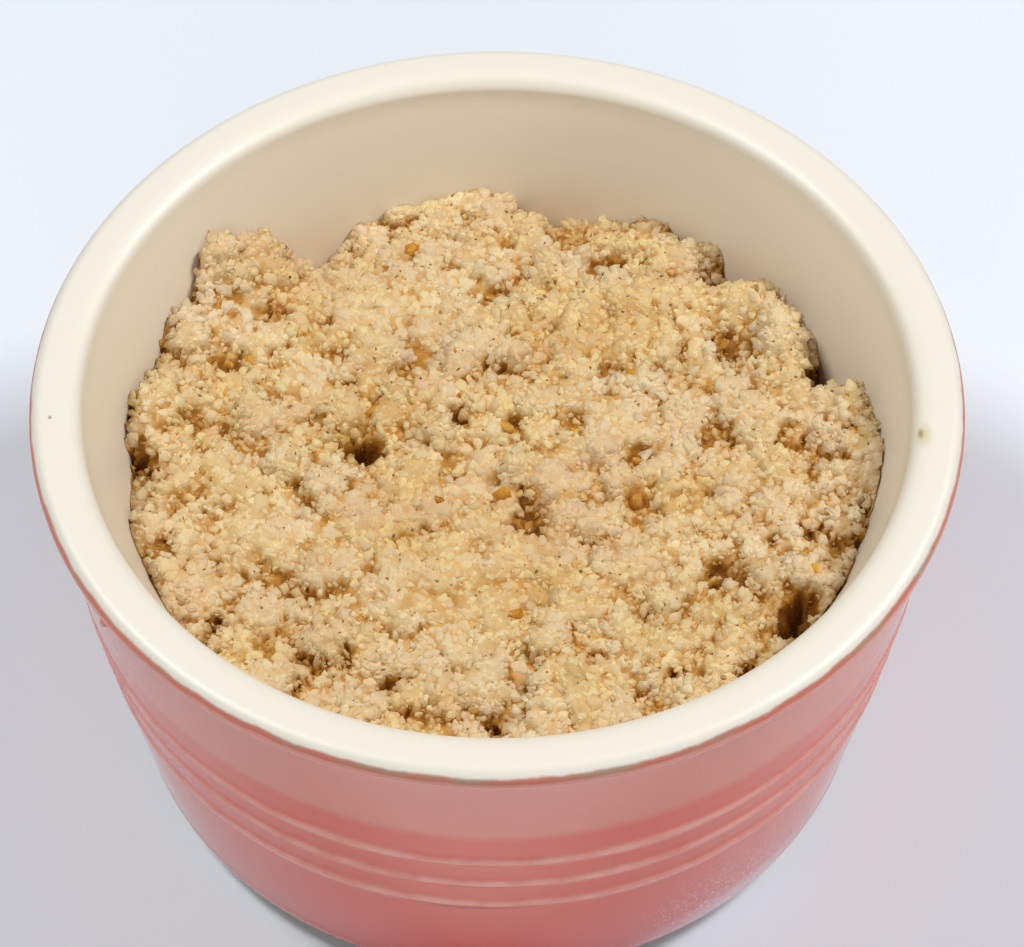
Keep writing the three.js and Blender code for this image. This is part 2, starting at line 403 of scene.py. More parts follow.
def thin_and_highlit_crests(tree, colour, crest, wander):
    """Lets the glaze run thin and pale on the crests of the raised lines, in some stretches more than in
    others; the pale colour is partly a painted highlight.
    """
    spread = {"From Min": 0.3, "From Max": 0.6, "To Min": 0.4}
    broken = add_node(tree, "MapRange", spread, {"Value": wander})
    thin = add_node(tree, "Math", links={0: crest, 1: broken.outputs["Result"]}, operation="MULTIPLY")
    links = {SHARE: thin.outputs["Value"], FIRST: colour}
    return add_node(tree, "Mix", {SECOND: linear(THIN_GLAZE_AND_HIGHLIGHT)}, links, data_type="RGBA").outputs[MIXED]


def rust_share(tree, shifted):
    """Highest on the line where the two glazes meet, 0 away from it."""
    away = add_node(tree, "Math", {1: RUST_PLACE}, {0: shifted}, operation="SUBTRACT")
    away = add_node(tree, "Math", links={0: away.outputs["Value"]}, operation="ABSOLUTE")
    spread = {"From Min": RUST_HALF_WIDTH, "From Max": 0.4 * RUST_HALF_WIDTH, "To Max": 0.85}
    return add_node(tree, "MapRange", spread, {"Value": away.outputs["Value"]}).outputs["Result"]


def rusty(tree, colour, place, rust):
    """Lets the clay show through in uneven streaks."""
    streaks = add_node(tree, "TexNoise", pattern(STREAK_SIZE, 3), {"Vector": place})
    clay = add_node(tree, "ValToRGB", links={"Fac": streaks.outputs["Fac"]}, ramp=RUST_STOPS)
    links = {SHARE: rust, FIRST: colour, SECOND: clay.outputs["Color"]}
    return add_node(tree, "Mix", links=links, data_type="RGBA").outputs[MIXED]


def with_marks_and_reflection(tree, colour, place):
    """Smears each mark, and the painted reflection, over the glaze, faint at its edge."""
    for middle, half_sizes, shade in MARKS_AND_REFLECTION:
        away = add_node(tree, "VectorMath", {1: Vector(middle) * MM}, {0: place}, operation="SUBTRACT")
        links = {0: away.outputs["Vector"]}
        away = add_node(tree, "VectorMath", {1: Vector(half_sizes) * MM}, links, operation="DIVIDE")
        away = add_node(tree, "VectorMath", links={0: away.outputs["Vector"]}, operation="LENGTH")
        spread = {"From Min": 1, "From Max": 0.3, "To Max": 0.9}
        smear = add_node(tree, "MapRange", spread, {"Value": away.outputs["Value"]})
        links = {SHARE: smear.outputs["Result"], FIRST: colour}
        colour = add_node(tree, "Mix", {SECOND: linear(shade)}, links, data_type="RGBA").outputs[MIXED]
    return colour


def pitted_share(tree, place):
    """How full of pinholes the glaze is, highest in the middle of the pitted patch."""
    away = add_node(tree, "VectorMath", {1: Vector(PITTED_PLACE) * MM}, {0: place}, operation="DISTANCE")
    spread = {"From Min": PITTED_REACH * MM, "From Max": 0.2 * PITTED_REACH * MM, "To Max": 0.5}
    return add_node(tree, "MapRange", spread, {"Value": away.outputs["Value"]}).outputs["Result"]


def with_painted_glints(tree, colour, pinholes, pitted):
    """Paints a glint, a pale speck, into each pinhole of the pitted patch."""
    holes = add_node(tree, "MapRange", {"From Min": 0.58, "From Max": 0.66}, {"Value": pinholes})
    specks = add_node(tree, "Math", links={0: holes.outputs["Result"], 1: pitted}, operation="MULTIPLY")
    links = {SHARE: specks.outputs["Value"], FIRST: colour}
    return add_node(tree, "Mix", {SECOND: linear(GLINT_COLOUR)}, links, data_type="RGBA").outputs[MIXED]


print("rusty line:", 2 * RUST_HALF_WIDTH, "mm wide, pitted patch:", 2 * PITTED_REACH, "mm across")

# %% Glaze material
def glaze_relief(tree, place, pinholes, pitted):
    """Normals of a glaze that set in shallow waves, with pinholes in the pitted patch."""
    waves = add_node(tree, "TexNoise", pattern(WAVE_SIZE, 1), {"Vector": place})
    shallow = {"Strength": 0.12, "Distance": WAVE_DEPTH * MM}
    wavy = add_node(tree, "Bump", shallow, {"Height": waves.outputs["Fac"]})
    links = {"Strength": pitted, "Height": pinholes, "Normal": wavy.outputs["Normal"]}
    return add_node(tree, "Bump", {"Distance": WAVE_DEPTH * MM}, links).outputs["Normal"]


def glaze_roughness(tree, shifted, rust, crest):
    """Glossy coral and duller cream, rougher where the glaze is thin."""
    spread = {"From Min": -1, "From Max": 1, "To Min": 0.45, "To Max": 0.1}
    glossy = add_node(tree, "MapRange", spread, {"Value": shifted})
    links = {"Value": rust, "To Min": glossy.outputs["Result"]}
    roughness = add_node(tree, "MapRange", {"To Max": 0.55}, links)
    links = {0: crest, 2: roughness.outputs["Result"]}
    return add_node(tree, "Math", {1: 0.3}, links, operation="MULTIPLY_ADD").outputs["Value"]


def glaze_material():
    """Glassy glaze on stoneware: cream inside and on the rim, coral outside, rusty where both thin out."""
    material, tree = start_material("glazed_stoneware")
    place = add_node(tree, "TexCoord").outputs["Object"]
    mark = add_node(tree, "Attribute", attribute_name="section_mm").outputs["Fac"]
    crest = add_node(tree, "Attribute", attribute_name="crest").outputs["Fac"]
    wander = add_node(tree, "TexNoise", pattern(WANDER_SIZE, 4, 0.6), {"Vector": place}).outputs["Fac"]
    reach = {"To Min": -WANDER_REACH, "To Max": WANDER_REACH}
    offset = add_node(tree, "MapRange", reach, {"Value": wander}).outputs["Result"]
    shifted = add_node(tree, "Math", links={0: mark, 1: offset}, operation="ADD").outputs["Value"]
    pinholes = add_node(tree, "TexNoise", pattern(PINHOLE_SIZE, 2), {"Vector": place}).outputs["Fac"]
    rust = rust_share(tree, shifted)
    pitted = pitted_share(tree, place)
    colour = zone_colour(tree, shifted)
    colour = thin_and_highlit_crests(tree, colour, crest, wander)
    colour = rusty(tree, colour, place, rust)
    colour = with_marks_and_reflection(tree, colour, place)
    colour = with_painted_glints(tree, colour, pinholes, pitted)
    links = {
        "Base Color": colour,
        "Roughness": glaze_roughness(tree, shifted, rust, crest),
        "Normal": glaze_relief(tree, place, pinholes, pitted),
    }
    finish_material(tree, add_node(tree, "BsdfPrincipled", {"IOR": 1.6}, links))
    return material


dish = add_piece("dish", dish_mesh, glaze_material(), "ramekin")
print("dish material:", dish.data.materials[0].name)

# %% [markdown]
# ## A height map of the heap
#
# Ground brittle lies as a heap of fused clumps with cracks and pits between them. A height map on a
# fine grid is a good way to model it, because clumps and pits can be drawn into it with plain
# arithmetic, and loose grains find their height on it. The large forms come from the solid: rays that
# fall from above give its level, and a blur takes its facets away.

# %% Level of the solid
MAP_STEP = 0.12
MAP_HALF = 40
LEVEL_STEP = 0.5
LEVEL_BLUR = 0.9
# The solid's top is nowhere lower than this
LOWEST_LEVEL = 26
LEAST_WEIGHT = 0.01
map_axis = np.arange(-MAP_HALF, MAP_HALF + MAP_STEP / 2, MAP_STEP)
map_x, map_y = np.meshgrid(map_axis, map_axis)


def sample(grid, x, y, step=MAP_STEP):
    """Reads a square map at places in mm, straight between its points."""
    column = np.clip((np.asarray(x) + MAP_HALF) / step, 0, grid.shape[1] - 1.001)
    row = np.clip((np.asarray(y) + MAP_HALF) / step, 0, grid.shape[0] - 1.001)
    left = column.astype(int)
    low = row.astype(int)
    across = column - left
    up = row - low
    below = grid[low, left] * (1 - across) + grid[low, left + 1] * across
    above = grid[low + 1, left] * (1 - across) + grid[low + 1, left + 1] * across
    return below * (1 - up) + above * up


def blur(grid, width, step=MAP_STEP):
    """A map softened over a width in mm."""
    rows = np.fft.fftfreq(grid.shape[0], step)[:, None]
    columns = np.fft.rfftfreq(grid.shape[1], step)[None, :]
    soft = np.exp(-2 * (math.pi * width) ** 2 * (rows**2 + columns**2))
    return np.fft.irfft2(np.fft.rfft2(grid) * soft, grid.shape)


def solid_level():
    """Height of the solid's top on the fine map, in mm."""
    merged = bmesh.new()
    merged.from_mesh(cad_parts["crumbs"].data)
    bmesh.ops.remove_doubles(merged, verts=merged.verts, dist=MERGE_DISTANCE * MM)
    tree = BVHTree.FromBMesh(merged)
    merged.free()
    axis = np.arange(-MAP_HALF, MAP_HALF + LEVEL_STEP / 2, LEVEL_STEP)
    level = np.zeros((len(axis), len(axis)))
    top = DISH_HEIGHT * MM
    for row, y in enumerate(axis):
        for column, x in enumerate(axis):
            hit = tree.ray_cast(Vector((x * MM, y * MM, top)), Vector((0, 0, -1)))[0]
            if hit is not None:
                level[row, column] = hit.z / MM
    inside = (level > LOWEST_LEVEL).astype(float)
    weight = np.maximum(blur(inside, LEVEL_BLUR, LEVEL_STEP), LEAST_WEIGHT)
    level = blur(level * inside, LEVEL_BLUR, LEVEL_STEP) / weight
    return sample(level, map_x, map_y, LEVEL_STEP)


level = solid_level()
print("heap level in the middle:", round(float(sample(level, 0, 0)), 1), "mm")

# %% [markdown]
# ## Clumps, cracks and pits
#
# The fine meal sticks together in clumps of two to six millimetres. First a step, scooped places and
# small rises change the level of the heap. Each clump is then drawn into the map as a flat dome, and
# the higher of dome and map counts, so cracks stay between neighbours. Noise bends their outlines,
# because a clump breaks along its grains and is never round. Small lumps follow in the same way. The
# local mean is taken off this relief, so that the heap keeps its level. Last come the cuts: pits that
# catch the eye, each with its own place, size and depth, crevices, and the gap along the wall.

# %% Sizes of clumps and pits
CLUMP_COUNT = 820
CLUMP_RADII = (1.1, 3.0)
CLUMP_RISE = 0.65
CLUMP_FLATNESS = 0.75
LUMP_COUNT = 5200
LUMP_RADII = (0.5, 1.0)
LUMP_RISE = 0.34
LUMP_FLATNESS = 1.0
CRACK_DEPTH = 1.6
FINE_CALM = 0.6
HEAP_RADIUS = 38.2
# Each pit: x, y, half length, half width, turn in degrees, depth
PITS = [
    (-13.3, 1.0, 1.9, 0.9, 5, 3.4),
    (-9.3, 2.1, 1.9, 0.9, 15, 0.96),
    (-11.0, -2.5, 0.8, 0.4, 20, 1.9),
    (-4.0, -3.5, 0.8, 0.45, 80, 1.9),
    (-4.0, 5.0, 1.5, 1.0, 60, 2.0),
    (1.3, 2.7, 1.1, 1.1, 0, 0.7),
    (7.5, 3.4, 1.9, 1.2, 10, 0.72),
    (13.0, 9.0, 1.4, 0.9, 40, 0.6),
    (13.5, -1.0, 2.0, 1.1, -10, 0.6),
    (14.0, -6.5, 2.1, 1.2, 0, 0.72),
    (18.3, -7.0, 2.6, 1.6, 20, 0.56),
    (19.2, 8.5, 0.7, 0.6, 0, 0.8),
    (18.5, 4.6, 0.7, 0.6, 0, 0.72),
    (23.1, 2.5, 2.8, 1.5, 5, 0.72),
    (30.9, 1.2, 1.0, 0.8, 0, 1.28),
    (31.0, -11.0, 1.6, 0.9, 60, 1.12),
    (3.0, -8.0, 3.1, 2.1, -35, 0.35),
    (-0.8, 20.5, 1.5, 1.0, 90, 0.8),
    (11.4, 25.9, 1.9, 1.5, -10, 1.2),
    (17.2, 23.6, 3.6, 0.7, -8, 0.72),
    (22.0, 21.6, 1.2, 1.1, -40, 0.88),
    (24.2, 13.9, 4.4, 1.3, -51, 0.8),
    (22.0, -15.0, 2.4, 0.5, 63, 1.9),
    (28.9, -21.3, 2.2, 1.3, 60, 3.2),
    (23.6, -27.0, 1.1, 0.8, 40, 2.3),
    (17.0, -28.0, 0.9, 0.6, 0, 1.9),
    (10.0, -25.5, 0.9, 0.6, 70, 0.84),
    (0.0, -32.6, 1.1, 0.9, 90, 2.1),
    (-11.0, -28.0, 1.6, 0.5, 10, 1.9),
    (-16.0, -26.0, 1.4, 0.4, -40, 1.5),
    (-27.5, -21.6, 1.0, 0.9, 0, 2.6),
    (36.4, -8.2, 2.2, 0.6, 100, 2.1),
    (36.0, 1.0, 1.0, 0.7, 80, 0.72),
    (-35.4, -0.8, 1.7, 0.6, 5, 2.6),
    (-37.2, 3.6, 3.6, 0.6, 97, 2.4),
    (-29.1, 10.7, 0.9, 0.6, 80, 0.8),
    (-19.8, 12.6, 3.0, 0.4, 2, 0.64),
    (-23.5, 20.5, 3.4, 0.5, 85, 0.72),
    (-17.0, 16.0, 0.9, 0.7, 30, 0.6),
    (-9.6, 9.0, 1.3, 0.7, 60, 0.8),
    (-14.9, 8.5, 1.2, 0.6, 80, 0.96),
]
PIT_REACH = 1.4
PIT_SLOPE = 0.85
RELIEF_WIDTH = 3
RELIEF_DEPTH = 1.0
CREVICE_DEPTH = 0.8
CREVICE_WIDTH = 0.4
CREVICE_SIZE = 1.3
CREVICE_CALM = 0.7
STRETCH_SIZE = 3.5
STRETCH_GAIN = 2.5
GAP_DEPTH = 1.4
GAP_WIDTH = 1.1
GAP_EDGE = 1.3
GAP_SIZE = 2
# The gap's mean and least openness
GAP_OPENNESS = (0.35, 0.12)
# Finer, flatter stretches: x, y, radius
PLATEAUS = [(-6.0, -15.0, 15.0), (-14.0, 19.0, 11.0)]
# Places where the heap was scooped or stands higher at the wall: x, y, radius, change of level
LEVEL_CHANGES = [
    (33.8, 15.0, 6.5, -3.4),
    (19.6, 31.4, 5.5, -2.6),
    (5.2, 35.8, 2.6, -2.4),
    (8.4, 33.5, 3.2, 1.0),
    (-28.4, 22.2, 4.0, 1.0),
]
# Steps that look at the front: x of their ends, y of their edge, rise, how far back they run out
STEPS = [(-20.0, 2.0, 0.8, 0.9, 7.0)]
STEP_SIDES = 3
STEP_EDGE = 0.5
# How noise bends outlines: reach and size of its waves
CLUMP_BEND = (0.9, 0.7)
LUMP_BEND = (0.3, 0.18)
PIT_BEND = (0.7, 0.7)
GAP_BEND = (0.4, 0.3)
STEP_BEND = (0.9, 1.2)
FINE_BEND = (0.5, 0.25)
# Widths over which the levels of clumps and of grains are softened
CLUMP_LEVEL_WIDTH = 1.6
CALM_WIDTH = 0.35
# Waves of the tone: size and strength
TONE_WAVES = [(0.6, 0.2), (3.5, 0.3)]
print("clumps:", CLUMP_COUNT, "lumps:", LUMP_COUNT, "pits:", len(PITS))

# %% Tools for the map
SEED = 11
draw = np.random.default_rng(SEED)
inside = (np.hypot(map_x, map_y) < HEAP_RADIUS).astype(float)


def noise_map(size):
    """Seeded smooth noise on the map, from about -1 to 1, with waves of a size in mm."""
    rough = blur(draw.normal(size=map_x.shape), size)
    return rough / rough.std() / 2


def disc_places(count, radius):
    """Seeded places spread evenly over a disc."""
    reach = radius * np.sqrt(draw.random(count))
    angle = draw.random(count) * math.tau
    return np.stack([reach * np.cos(angle), reach * np.sin(angle)], axis=1)


def bent(grid, reach, size):
    """A map whose outlines noise has moved to and fro by about a reach, in waves of a size, in mm."""
    return sample(grid, map_x + reach * noise_map(size), map_y + reach * noise_map(size))


def local_mean(grid, width):
    """A map softened over a width in mm, from the heap's own places only."""
    weight = np.maximum(blur(inside, width), LEAST_WEIGHT)
    return blur(grid * inside, width) / weight


def patch_around(x, y, reach):
    """Slices of the map that hold a square round a place."""
    column = int(round((x + MAP_HALF) / MAP_STEP))
    row = int(round((y + MAP_HALF) / MAP_STEP))
    half = int(math.ceil(reach / MAP_STEP))
    return slice(max(row - half, 0), row + half + 1), slice(max(column - half, 0), column + half + 1)


print("places of the map in the heap:", int(inside.sum()))

# %% Levels, domes and cuts
def mound(x, y, radius):
    """A round rise on the map: 1 in its middle, 0 from its edge on."""
    reach = np.hypot(map_x - x, map_y - y) / radius
    return np.clip(1 - reach**2, 0, 1)


def raise_domes(surface, ground, count, radii, rise, flatness):
    """Raises the map by flat domes that stand on the ground, so that sharp cracks stay between them."""
    places = disc_places(count, HEAP_RADIUS)
    sizes = draw.uniform(*radii, count)
    calm = 1 - FINE_CALM * sample(fine, *places.T)
    tops = sample(ground, *places.T) + rise * calm * draw.normal(0, 1, count)
    for (x, y), radius, top in zip(places, sizes, tops):
        part = patch_around(x, y, radius)
        reach = ((map_x[part] - x) ** 2 + (map_y[part] - y) ** 2) / radius**2
        dome = top - flatness * radius * (1 - np.sqrt(np.clip(1 - reach, 0, 1)))
        surface[part] = np.where(reach < 1, np.maximum(surface[part], dome), surface[part])


def pit_depths():
    """How deep the pits cut at each place of the map."""
    depths = np.zeros_like(map_x)
    for x, y, length, width, turn, depth in PITS:
        part = patch_around(x, y, PIT_REACH * length)
        across = map_x[part] - x
        away = map_y[part] - y
        angle = math.radians(turn)
        along = (across * math.cos(angle) + away * math.sin(angle)) / length
        aside = (away * math.cos(angle) - across * math.sin(angle)) / width
        reach = np.hypot(along, aside)
        depths[part] = np.maximum(depths[part], depth * np.clip((PIT_REACH - reach) / PIT_SLOPE, 0, 1))
    return bent(bent(depths, *PIT_BEND), *FINE_BEND)


def crevice_depths():
    """How deep the crevices cut: along the zero line of a noise, in some stretches of the heap only."""
    near_line = np.clip(1 - abs(noise_map(CREVICE_SIZE)) / CREVICE_WIDTH, 0, 1)
    stretches = np.clip(STRETCH_GAIN * noise_map(STRETCH_SIZE), 0, 1) * (1 - CREVICE_CALM * fine)
    return bent(CREVICE_DEPTH * near_line * stretches, *FINE_BEND)


def gap_depths():
    """How deep the gap along the wall cuts: it comes and goes, where the heap leans on the wall."""
    inward = inner_radius(level) - np.hypot(map_x, map_y)
    mean, least = GAP_OPENNESS
    openness = np.clip(mean + noise_map(GAP_SIZE), least, 1)
    return bent(GAP_DEPTH * openness * np.clip(GAP_EDGE - inward / GAP_WIDTH, 0, 1), *GAP_BEND)


def step_rises():
    """How much the steps raise each place of the map."""
    rises = np.zeros_like(map_x)
    for start, end, edge, rise, run in STEPS:
        back = map_y - edge
        sides = np.clip((map_x - start) / STEP_SIDES, 0, 1) * np.clip((end - map_x) / STEP_SIDES, 0, 1)
        rises += rise * sides * np.clip(back / STEP_EDGE, 0, 1) * np.clip(1 - back / run, 0, 1)
    return bent(rises, *STEP_BEND)


fine = np.max([mound(*place) for place in PLATEAUS], axis=0)
print("finest share:", round(float(fine.max()), 2))

# %% Draw the relief
level += step_rises() + sum(change * mound(*place) ** 2 for *place, change in LEVEL_CHANGES)
clumps = level - CRACK_DEPTH * (1 - FINE_CALM * fine)
raise_domes(clumps, level, CLUMP_COUNT, CLUMP_RADII, CLUMP_RISE, CLUMP_FLATNESS)
surface = bent(bent(clumps, *CLUMP_BEND), *FINE_BEND)
raise_domes(surface, surface.copy(), LUMP_COUNT, LUMP_RADII, LUMP_RISE, LUMP_FLATNESS)
surface = bent(surface, *LUMP_BEND)
relief = np.maximum(surface - local_mean(surface, RELIEF_WIDTH), -RELIEF_DEPTH)
cuts = np.max([pit_depths(), crevice_depths(), gap_depths()], axis=0)
surface = level + relief - cuts
mean_level = local_mean(level + relief, CLUMP_LEVEL_WIDTH)
calm_surface = blur(surface, CALM_WIDTH)
tone_map = np.clip(0.5 + sum(strength * noise_map(size) for size, strength in TONE_WAVES), 0, 1)
print("map:", surface.shape, "deepest cut:", round(float(cuts.max()), 1), "mm")

# %% [markdown]
# ## Laying the grains
#
# Loose grains cover the relief: crumbs of nut and of sugar, meal of both, fine sugar, chips of toffee
# and flecks of skin. A rigid body simulation could drop them, but would take hours for so many. Here
# each grain gets a random place on the map and stands a little out of it, square to the slope. Steep
# places get more grains, because they have more surface than the map shows from above. The large chips
# of toffee have places of their own, and grains keep clear of them. Deep pits hold only fine meal, and
# grains at the wall are moved inwards until they fit.

# %% Kinds of grain
WALL_REACH = 0.8
OPEN_DEPTH = 1.0
FINE_SIZE = 0.6
WALL_GAP = 0.1
MOST_STRETCH = 3
SIZE_SKEW = 1.5
# Shares of a size: a grain's reach, what large chips and grains keep clear, how far a chip stands out
GRAIN_REACH = 0.6
CHIP_CLEAR = 0.4
GRAIN_CLEAR = 0.3
CHIP_STAND = 0.05
# Each kind of grain: count, smallest and largest size in mm, how far it stands out as shares of half
# its size, corners, how far its shading follows the ground
GRAIN_KINDS = {
    "nut_crumbs": (4800, 0.75, 1.7, (-0.2, 0.7), 14, 0.45),
    "sugar_crumbs": (4800, 0.7, 1.5, (-0.2, 0.7), 14, 0.45),
    "nut_meal": (5500, 0.35, 0.65, (-0.2, 0.7), 9, 0.5),
    "sugar_meal": (5500, 0.35, 0.6, (-0.2, 0.7), 9, 0.5),
    "fine_sugar": (4500, 0.22, 0.38, (-0.2, 0.7), 7, 0.5),
    "toffee_chips": (60, 0.6, 1.3, (-0.2, 0.5), 10, 0.2),
    "skin_flecks": (1300, 0.28, 0.55, (0.4, 1.1), 7, 0.5),
}
# Each large chip of toffee: x, y and size in mm
LARGE_CHIPS = [
    (-27.4, 12.2, 2.2),
    (-25.2, 11.8, 2.0),
    (-9.1, 28.0, 2.2),
    (1.0, 2.8, 2.4),
    (13.4, 8.8, 1.8),
    (-0.9, 21.4, 2.4),
    (12.4, 26.8, 2.2),
    (13.8, -0.8, 1.8),
    (29.3, 0.0, 1.6),
    (1.5, -20.8, 2.0),
    (13.7, -6.0, 2.4),
    (0.6, -5.8, 2.6),
    (-9.9, 10.4, 1.8),
    (-12.7, 4.7, 1.8),
    (31.0, -17.0, 2.0),
    (3.4, -8.4, 2.4),
    (7.6, 2.2, 1.8),
]
print("kinds of grain:", len(GRAIN_KINDS), "large chips:", len(LARGE_CHIPS))

# %% Lay the grains
def surface_places(count):
    """Seeded places on the map, spread evenly over its sloping surface, with the surface's normals."""
    rise_y, rise_x = np.gradient(surface, MAP_STEP)
    stretch = np.sqrt(1 + rise_x**2 + rise_y**2)
    weight = (inside * np.minimum(stretch, MOST_STRETCH)).ravel()
    cells = draw.choice(weight.size, count, p=weight / weight.sum())
    flat = np.stack([map_x.ravel()[cells], map_y.ravel()[cells]], axis=1)
    flat += draw.uniform(-MAP_STEP / 2, MAP_STEP / 2, flat.shape)
    normals = np.stack([-rise_x.ravel(), -rise_y.ravel(), np.ones(weight.size)])[:, cells]
    return flat, (normals / stretch.ravel()[cells]).T


def clear_of_chips(middles, sizes):
    """Which grains leave the large chips of toffee in sight."""
    x, y, chips = np.array(LARGE_CHIPS).T
    away = np.hypot(middles[:, :1] - x, middles[:, 1:2] - y)
    return (away > CHIP_CLEAR * chips + GRAIN_CLEAR * sizes[:, None]).all(axis=1)


def lay_grains(count, low, high, stand):
    """Middles and sizes in mm of the grains of one kind that lie in the dish."""
    sizes = low + (high - low) * draw.random(count) ** SIZE_SKEW
    flat, normals = surface_places(count)
    heights = sample(surface, *flat.T)
    reach = np.hypot(*flat.T)
    limit = inner_radius(heights) - GRAIN_REACH * sizes - WALL_GAP
    flat *= np.minimum(1, limit / reach)[:, None]
    middles = np.column_stack([flat, sample(surface, *flat.T)])
    middles += normals * (sizes / 2 * draw.uniform(*stand, count))[:, None]
    room = (inner_radius(middles[:, 2]) - GRAIN_REACH * sizes) / np.hypot(*middles[:, :2].T)
    middles[:, :2] *= np.minimum(1, room)[:, None]
    kept = (reach < limit + WALL_REACH) & clear_of_chips(middles, sizes)
    kept &= (sample(cuts, *flat.T) < OPEN_DEPTH) | (sizes < FINE_SIZE)
    return middles[kept], sizes[kept]


def lay_large_chips():
    """Middles and sizes of the chips that catch the eye, half sunk into the heap."""
    x, y, sizes = np.array(LARGE_CHIPS).T
    heights = sample(calm_surface, x, y) + CHIP_STAND * sizes
    return np.stack([x, y, heights], axis=1), sizes


laid = {name: lay_grains(*row[:4]) for name, row in GRAIN_KINDS.items()}
laid["toffee_chips"] = [np.concatenate(pair) for pair in zip(laid["toffee_chips"], lay_large_chips())]
print("grains:", {name: len(sizes) for name, (middles, sizes) in laid.items()})

# %% [markdown]
# ## The core under the grains
#
# The core is what shows in the cracks and pits between the loose grains. It starts as a square grid that is
# eased into a disc, which keeps its faces even and has no pole in the middle. Its points take their height
# from the map. The border is then extruded down along the bowl and closed at the bottom, so that the core
# is a solid like the heap that it stands for. Each point keeps a tone, and how deep and how steep it lies,
# which its material reads to paint shade into its colour: amber in cracks and on steep sides, brown in the
# pits.

# %% Make the core
CORE_CELLS = 300
CORE_GAP = 0.06
CORE_BOTTOM = FLOOR_TOP + 0.5
CORE_ROWS = 4
CORE_FITS = 4
# How much steep sides and gaps between grains add to the depth that sets the painted shade, and how far a
# grain may take off it
SIDE_SHADE = 1.2
GAP_SHADE = 1.6
GRAIN_RISE = 0.35


def make_core():
    """The core as a closed mesh with the map's relief on top."""
    core = bmesh.new()
    bmesh.ops.create_grid(core, x_segments=CORE_CELLS, y_segments=CORE_CELLS, size=1)
    square = np.array([point.co[:2] for point in core.verts])
    disc = square * np.sqrt(1 - square[:, ::-1] ** 2 / 2)
    outward = disc / np.maximum(np.linalg.norm(disc, axis=1, keepdims=True), 1e-9)
    border = np.full((len(disc), 1), HEAP_RADIUS)
    for _ in range(CORE_FITS):
        border = inner_radius(sample(level, *(outward * border).T))[:, None] - CORE_GAP
    places = disc * border
    heights = sample(surface, *places.T)
    within = np.minimum(np.linalg.norm(places, axis=1), inner_radius(heights) - CORE_GAP)
    places = outward * within[:, None]
    for point, (x, y), height in zip(core.verts, places, heights):
        point.co = (x * MM, y * MM, height * MM)
    border = [edge for edge in core.edges if edge.is_boundary]
    for row in range(1, CORE_ROWS + 1):
        made = bmesh.ops.extrude_edge_only(core, edges=border)["geom"]
        border = [item for item in made if isinstance(item, bmesh.types.BMEdge) and item.is_boundary]
        for point in {point for edge in border for point in edge.verts}:
            above = math.hypot(point.co.x, point.co.y)
            height = point.co.z / MM
            height += (CORE_BOTTOM - height) / (CORE_ROWS + 1 - row)
            share = (inner_radius(height) - CORE_GAP) * MM / above
            point.co = (point.co.x * share, point.co.y * share, height * MM)
    bmesh.ops.holes_fill(core, edges=border, sides=0)
    bmesh.ops.triangulate(core, faces=[face for face in core.faces if len(face.verts) > 4])
    bmesh.ops.recalc_face_normals(core, faces=core.faces)
    mesh = bpy.data.meshes.new("crumb_core")
    core.to_mesh(mesh)
    core.free()
    return mesh


def surface_normals(middles):
    """Normals of the calm surface under the grains."""
    slopes = np.gradient(calm_surface, MAP_STEP)
    rise_y, rise_x = (sample(slope, *middles[:, :2].T) for slope in slopes)
    normals = np.column_stack([-rise_x, -rise_y, np.ones(len(middles))])
    return normals / np.linalg.norm(normals, axis=1, keepdims=True)


def mark_shade_depth(mesh, places):
    """Stores a depth in mm for painted shade: how far each point lies under the levels of its clump and of
    its neighbours, and how steep it is.
    """
    under_clump = sample(mean_level, *places[:, :2].T) - places[:, 2]
    under_grains = sample(calm_surface, *places[:, :2].T) - places[:, 2]
    steepness = 1 - surface_normals(places)[:, 2]
    between = GAP_SHADE * np.maximum(under_grains, -GRAIN_RISE)
    mark_points(mesh, "shade_depth_mm", under_clump + between + SIDE_SHADE * steepness)


core_mesh = make_core()
mark_shade_depth(core_mesh, mesh_places(core_mesh))
core_tones = sample(tone_map, *mesh_places(core_mesh)[:, :2].T)
mark_points(core_mesh, "tone", core_tones)
core_mesh.shade_smooth()
print("core:", len(core_mesh.polygons), "faces")

# %% [markdown]
# ## Grains as joined meshes
#
# A few broken shapes, each with about ten to two dozen faces, are turned and scaled over and over. They
# could be instances, but a model that leaves Blender keeps only real meshes, so each kind of grain is
# joined into one mesh from arrays. Every grain keeps a random tone and its depth in the heap, which its
# material reads to paint shade into its colour. Its normals lean towards those of the ground, so that the
# grains look fused.

# %% Join the grains
SHAPES_PER_KIND = 12
KNOBBLE = 0.3
CORNER_REACH = (0.8, 1.1)
SHAPE_STRETCH = (0.65, 1.15)
TONE_SPREAD = 0.15


def broken_shape(corners):
    """Points, triangles and normals of one crumb: the hull of a few seeded corners."""
    shape = bmesh.new()
    for corner in draw.normal(size=(corners, 3)):
        shape.verts.new(corner / np.linalg.norm(corner) * draw.uniform(*CORNER_REACH))
    bmesh.ops.convex_hull(shape, input=shape.verts)
    bmesh.ops.delete(shape, geom=[point for point in shape.verts if not point.link_faces], context="VERTS")
    for point in shape.verts:
        point.co *= 1 + KNOBBLE * draw.uniform(-1, 1)
    bmesh.ops.scale(shape, vec=draw.uniform(*SHAPE_STRETCH, 3), verts=shape.verts)
    bmesh.ops.recalc_face_normals(shape, faces=shape.faces)
    shape.verts.index_update()
    points = np.array([point.co[:] for point in shape.verts])
    faces = np.array([[point.index for point in face.verts] for face in shape.faces])
    shape.normal_update()
    normals = np.array([point.normal[:] for point in shape.verts])
    shape.free()
    return points, faces, normals


